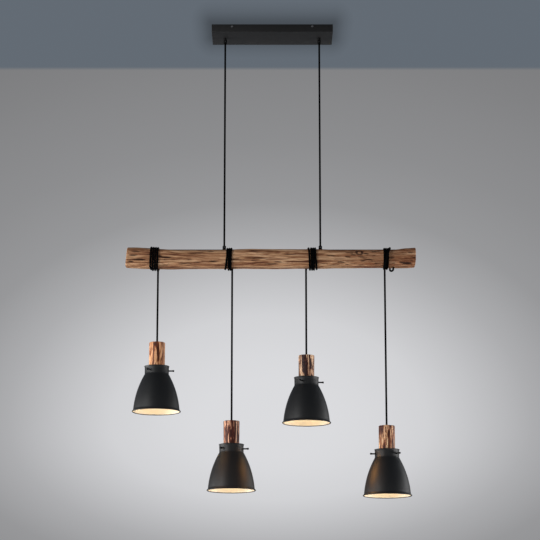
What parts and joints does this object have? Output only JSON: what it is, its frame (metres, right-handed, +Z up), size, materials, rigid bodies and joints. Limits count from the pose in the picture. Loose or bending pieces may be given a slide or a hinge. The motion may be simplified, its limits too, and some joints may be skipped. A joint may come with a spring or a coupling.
{
  "type": "pool table lamp",
  "caption": "Rustic wooden beam hung on two black cords from a flat ceiling canopy, with black bell-shaped metal shades on textile cords wound round the beam.",
  "frame": {"origin": "on the ceiling, at the centre of the bracket's top face, midway between its two bolt holes", "axes": "+Z up, +X along the beam to the viewer's right, -Y towards the viewer"},
  "size_m": [0.9, 0.15, 1.4861],
  "materials": {
    "black_coated_steel": "satin black powder coat",
    "zinc_steel": "zinc plated",
    "bright_screws": "nickel plated",
    "black_screws": "satin black",
    "black_plastic": "fine matt",
    "white_plastic": "matt",
    "black_textile": "braided",
    "rustic_wood": "weathered, oiled",
    "sleeve_wood": "streaked, oiled",
    "contact_brass": "plain",
    "cap_metal": "nickel plated",
    "opal_globe": "opal, lit"
  },
  "bodies": {
    "canopy": {"ceiling_bracket": "zinc_steel", "canopy_cover": "black_coated_steel", "canopy_side_screws": "bright_screws", "mains_terminal_block": "white_plastic", "canopy_cord_grips": "black_plastic", "canopy_grip_nuts": "zinc_steel", "canopy_leads": "black_textile"},
    "cord_left": {"suspension_cord_left": "black_textile"},
    "cord_right": {"suspension_cord_right": "black_textile"},
    "beam": {"wood_beam": "rustic_wood", "beam_top_rail": "black_coated_steel", "rail_screws": "zinc_steel", "beam_cord_grips": "black_plastic", "beam_grip_nuts": "zinc_steel", "splice_connectors": "white_plastic", "beam_leads": "black_textile", "cord_wrap_1": "black_textile", "cord_wrap_2": "black_textile", "cord_wrap_3": "black_textile", "cord_wrap_4": "black_textile"},
    "pendant_1": {"cord_drop_1": "black_textile"},
    "head_1": {"wood_sleeve_1": "sleeve_wood", "lampholder_1": "black_plastic", "holder_contacts_1": "contact_brass", "holder_ring_1": "black_plastic", "gallery_cup_1": "black_coated_steel", "shade_1": "black_coated_steel", "thumb_screws_1": "black_screws", "bulb_cap_1": "cap_metal", "bulb_globe_1": "opal_globe"},
    "pendant_2": {"cord_drop_2": "black_textile"},
    "head_2": {"wood_sleeve_2": "sleeve_wood", "lampholder_2": "black_plastic", "holder_contacts_2": "contact_brass", "holder_ring_2": "black_plastic", "gallery_cup_2": "black_coated_steel", "shade_2": "black_coated_steel", "thumb_screws_2": "black_screws", "bulb_cap_2": "cap_metal", "bulb_globe_2": "opal_globe"},
    "pendant_3": {"cord_drop_3": "black_textile"},
    "head_3": {"wood_sleeve_3": "sleeve_wood", "lampholder_3": "black_plastic", "holder_contacts_3": "contact_brass", "holder_ring_3": "black_plastic", "gallery_cup_3": "black_coated_steel", "shade_3": "black_coated_steel", "thumb_screws_3": "black_screws", "bulb_cap_3": "cap_metal", "bulb_globe_3": "opal_globe"},
    "pendant_4": {"cord_drop_4": "black_textile"},
    "head_4": {"wood_sleeve_4": "sleeve_wood", "lampholder_4": "black_plastic", "holder_contacts_4": "contact_brass", "holder_ring_4": "black_plastic", "gallery_cup_4": "black_coated_steel", "shade_4": "black_coated_steel", "thumb_screws_4": "black_screws", "bulb_cap_4": "cap_metal", "bulb_globe_4": "opal_globe"}
  },
  "joints": [
    {"name": "left_cord_swing", "type": "hinge", "parent": "canopy", "child": "cord_left", "pos_m": [-0.15, 0, -0.04], "axis": [0, 1, 0], "range_deg": [-15, 15]},
    {"name": "beam_level", "type": "hinge", "parent": "cord_left", "child": "beam", "pos_m": [-0.15, 0, -0.7088], "axis": [0, 1, 0], "range_deg": [-15, 15]},
    {"name": "right_cord_swing", "type": "hinge", "parent": "canopy", "child": "cord_right", "pos_m": [0.15, 0, -0.04], "axis": [0, 1, 0], "range_deg": [-15, 15]},
    {"name": "pendant_1_swing", "type": "hinge", "parent": "beam", "child": "pendant_1", "pos_m": [-0.356, 0, -0.7871], "axis": [1, 0, 0], "range_deg": [-30, 30]},
    {"name": "pendant_2_swing", "type": "hinge", "parent": "beam", "child": "pendant_2", "pos_m": [-0.125, 0, -0.7871], "axis": [1, 0, 0], "range_deg": [-30, 30]},
    {"name": "pendant_3_swing", "type": "hinge", "parent": "beam", "child": "pendant_3", "pos_m": [0.105, 0, -0.7871], "axis": [1, 0, 0], "range_deg": [-30, 30]},
    {"name": "pendant_4_swing", "type": "hinge", "parent": "beam", "child": "pendant_4", "pos_m": [0.35, 0, -0.7871], "axis": [1, 0, 0], "range_deg": [-30, 30]},
    {"name": "head_1_twist", "type": "hinge", "parent": "pendant_1", "child": "head_1", "pos_m": [-0.356, 0, -1.0358], "axis": [0, 0, 1], "range_deg": [-90, 90], "stiffness_Nm_per_rad": 0.005},
    {"name": "head_2_twist", "type": "hinge", "parent": "pendant_2", "child": "head_2", "pos_m": [-0.125, 0, -1.2773], "axis": [0, 0, 1], "range_deg": [-90, 90], "stiffness_Nm_per_rad": 0.005},
    {"name": "head_3_twist", "type": "hinge", "parent": "pendant_3", "child": "head_3", "pos_m": [0.105, 0, -1.0705], "axis": [0, 0, 1], "range_deg": [-90, 90], "stiffness_Nm_per_rad": 0.005},
    {"name": "head_4_twist", "type": "hinge", "parent": "pendant_4", "child": "head_4", "pos_m": [0.35, 0, -1.2931], "axis": [0, 0, 1], "range_deg": [-90, 90], "stiffness_Nm_per_rad": 0.005}
  ],
  "couplings": [
    {"joint": "beam_level", "follows": "left_cord_swing", "ratio": -1},
    {"joint": "right_cord_swing", "follows": "left_cord_swing", "ratio": 1}
  ]
}
